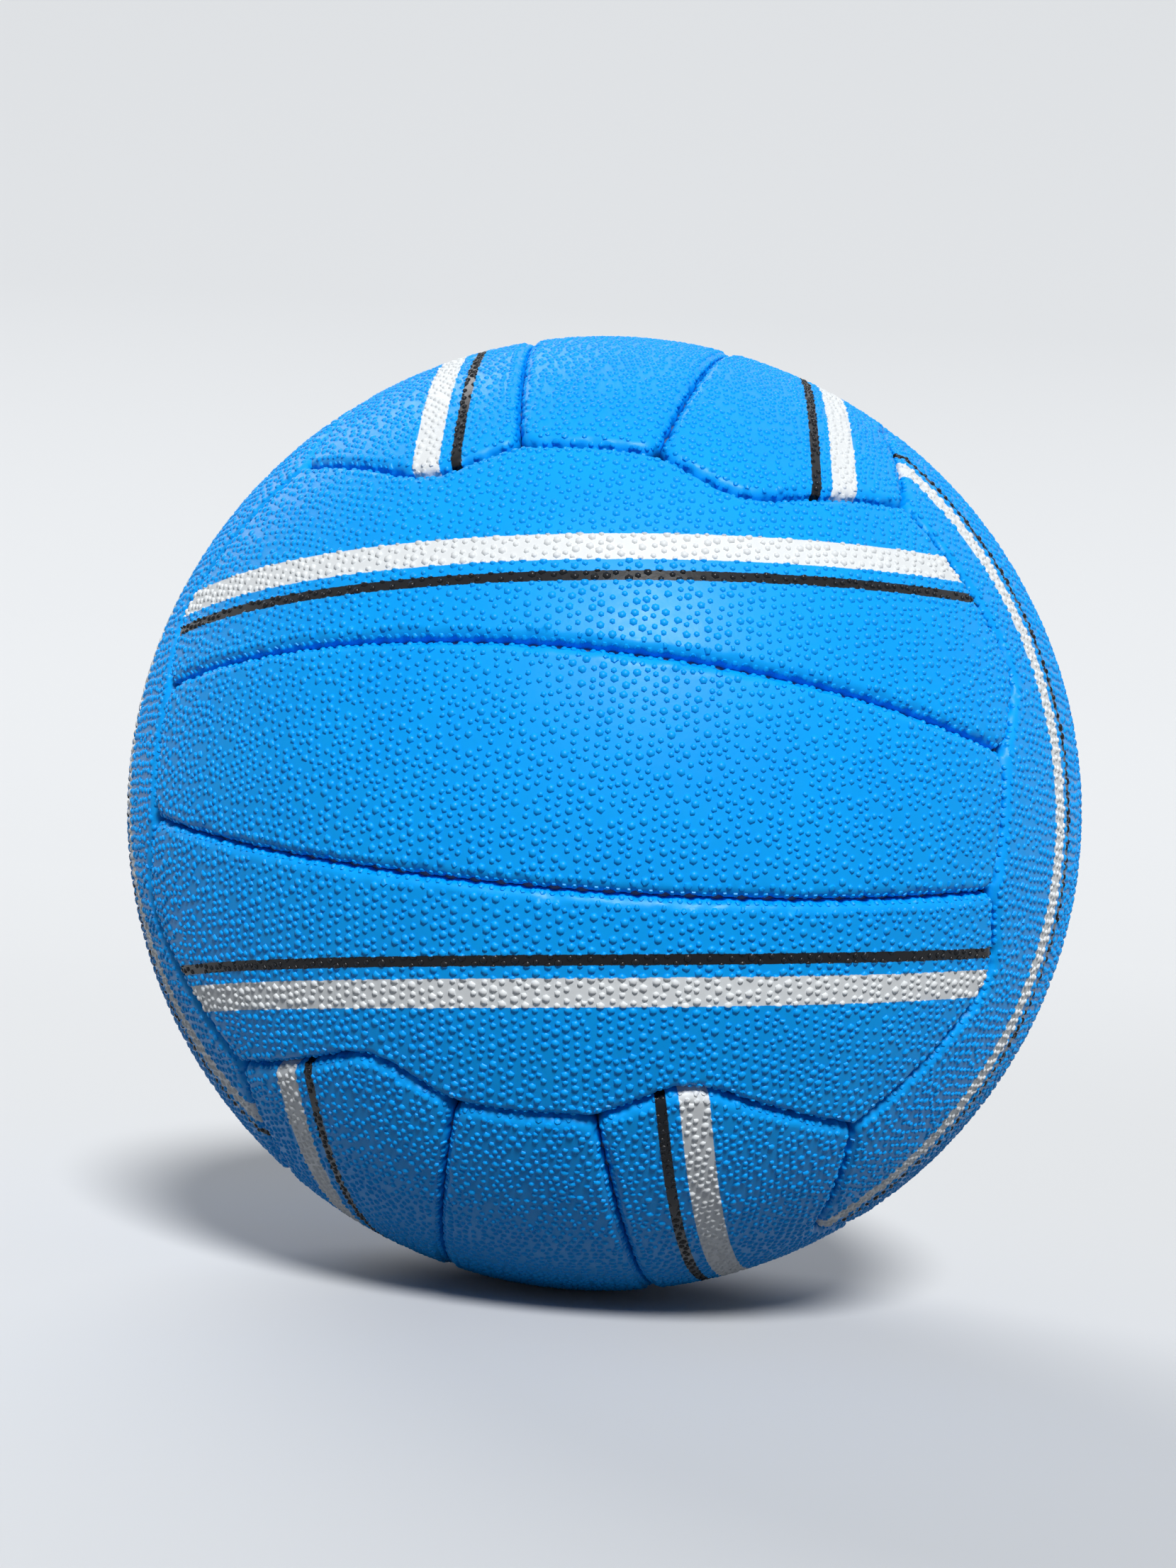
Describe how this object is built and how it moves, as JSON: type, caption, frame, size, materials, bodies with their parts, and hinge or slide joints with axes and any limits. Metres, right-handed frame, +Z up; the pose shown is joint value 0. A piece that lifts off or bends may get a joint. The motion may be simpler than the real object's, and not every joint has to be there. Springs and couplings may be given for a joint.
{
  "type": "netball",
  "caption": "Match-size netball: stitched pimpled rubber panels in crosswise strips, cloth-lined, over an inflated bladder with a needle valve in the back.",
  "frame": {"origin": "centre of the ball", "axes": "+Z up, the front face looks along -Y, the valve opens along +Y, +X to the right seen from the front"},
  "size_m": [0.2228, 0.2227, 0.2228],
  "materials": {
    "cover_rubber": "satin pimpled grip rubber, blue with white and black print",
    "backing_cloth": "layered poly-cotton cloth",
    "seam_thread": "waxed polyester thread",
    "bladder_rubber": "smooth butyl",
    "valve_rubber": "moulded matt rubber",
    "core_rubber": "self-sealing soft rubber"
  },
  "bodies": {
    "root": {"front_upper_panel": "cover_rubber", "front_middle_panel": "cover_rubber", "front_lower_panel": "cover_rubber", "back_upper_panel": "cover_rubber", "back_middle_panel": "cover_rubber", "back_lower_panel": "cover_rubber", "top_left_panel": "cover_rubber", "top_middle_panel": "cover_rubber", "top_right_panel": "cover_rubber", "bottom_left_panel": "cover_rubber", "bottom_middle_panel": "cover_rubber", "bottom_right_panel": "cover_rubber", "left_front_panel": "cover_rubber", "left_middle_panel": "cover_rubber", "left_back_panel": "cover_rubber", "right_front_panel": "cover_rubber", "right_middle_panel": "cover_rubber", "right_back_panel": "cover_rubber", "front_upper_backing": "backing_cloth", "front_middle_backing": "backing_cloth", "front_lower_backing": "backing_cloth", "back_upper_backing": "backing_cloth", "back_middle_backing": "backing_cloth", "back_lower_backing": "backing_cloth", "top_left_backing": "backing_cloth", "top_middle_backing": "backing_cloth", "top_right_backing": "backing_cloth", "bottom_left_backing": "backing_cloth", "bottom_middle_backing": "backing_cloth", "bottom_right_backing": "backing_cloth", "left_front_backing": "backing_cloth", "left_middle_backing": "backing_cloth", "left_back_backing": "backing_cloth", "right_front_backing": "backing_cloth", "right_middle_backing": "backing_cloth", "right_back_backing": "backing_cloth", "front_stitching": "seam_thread", "back_stitching": "seam_thread", "top_stitching": "seam_thread", "bottom_stitching": "seam_thread", "left_stitching": "seam_thread", "right_stitching": "seam_thread", "bladder": "bladder_rubber", "valve_housing": "valve_rubber", "valve_core": "core_rubber"}
  },
  "joints": []
}
